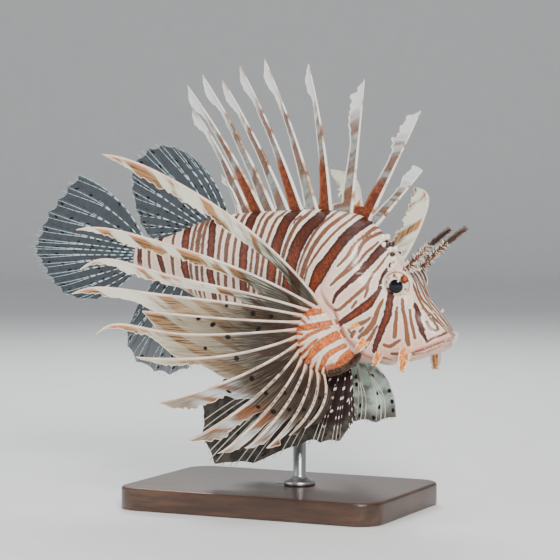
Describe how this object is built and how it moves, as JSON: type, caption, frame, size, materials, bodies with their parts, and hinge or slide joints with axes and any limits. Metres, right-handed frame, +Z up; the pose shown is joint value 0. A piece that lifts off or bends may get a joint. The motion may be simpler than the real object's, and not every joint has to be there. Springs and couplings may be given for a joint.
{
  "type": "red lionfish museum model",
  "caption": "Life-size still model of a red lionfish with spread fan-shaped pectoral fins and free dorsal spines, on a flat display stand.",
  "frame": {"origin": "middle of the underside of the stand's base", "axes": "+X towards the fish's snout, +Y to the fish's left, +Z up"},
  "size_m": [0.2983, 0.242, 0.2802],
  "materials": {
    "skin": "moist skin with fine scales, cream with red-brown bands",
    "eye": "clear wet eye over a dark pupil",
    "feeler": "moist fringed skin",
    "banded_fin": "moist fin membrane, cream with brown bands and dark spots",
    "dark_fin": "moist dusky fin membrane with pale spots",
    "clear_fin": "thin clear fin membrane with rows of dark spots",
    "stand_base": "dark stained hardwood, satin varnish",
    "stand_rod": "satin"
  },
  "bodies": {
    "root": {"head": "skin", "lower_jaw": "skin", "trunk": "skin", "tail_stem": "skin", "pectoral_base_right": "skin", "pectoral_base_left": "skin", "eye_right": "eye", "eye_left": "eye", "brow_tentacle_right": "feeler", "brow_tentacle_left": "feeler", "mouth_frond_right": "feeler", "mouth_frond_left": "feeler", "spiny_dorsal_fin": "banded_fin", "pectoral_fin_right": "banded_fin", "pectoral_fin_left": "banded_fin", "pelvic_fin_right": "dark_fin", "pelvic_fin_left": "dark_fin", "soft_dorsal_fin": "clear_fin", "anal_fin": "clear_fin", "caudal_fin": "clear_fin", "stand_base": "stand_base", "stand_rod": "stand_rod"}
  },
  "joints": []
}
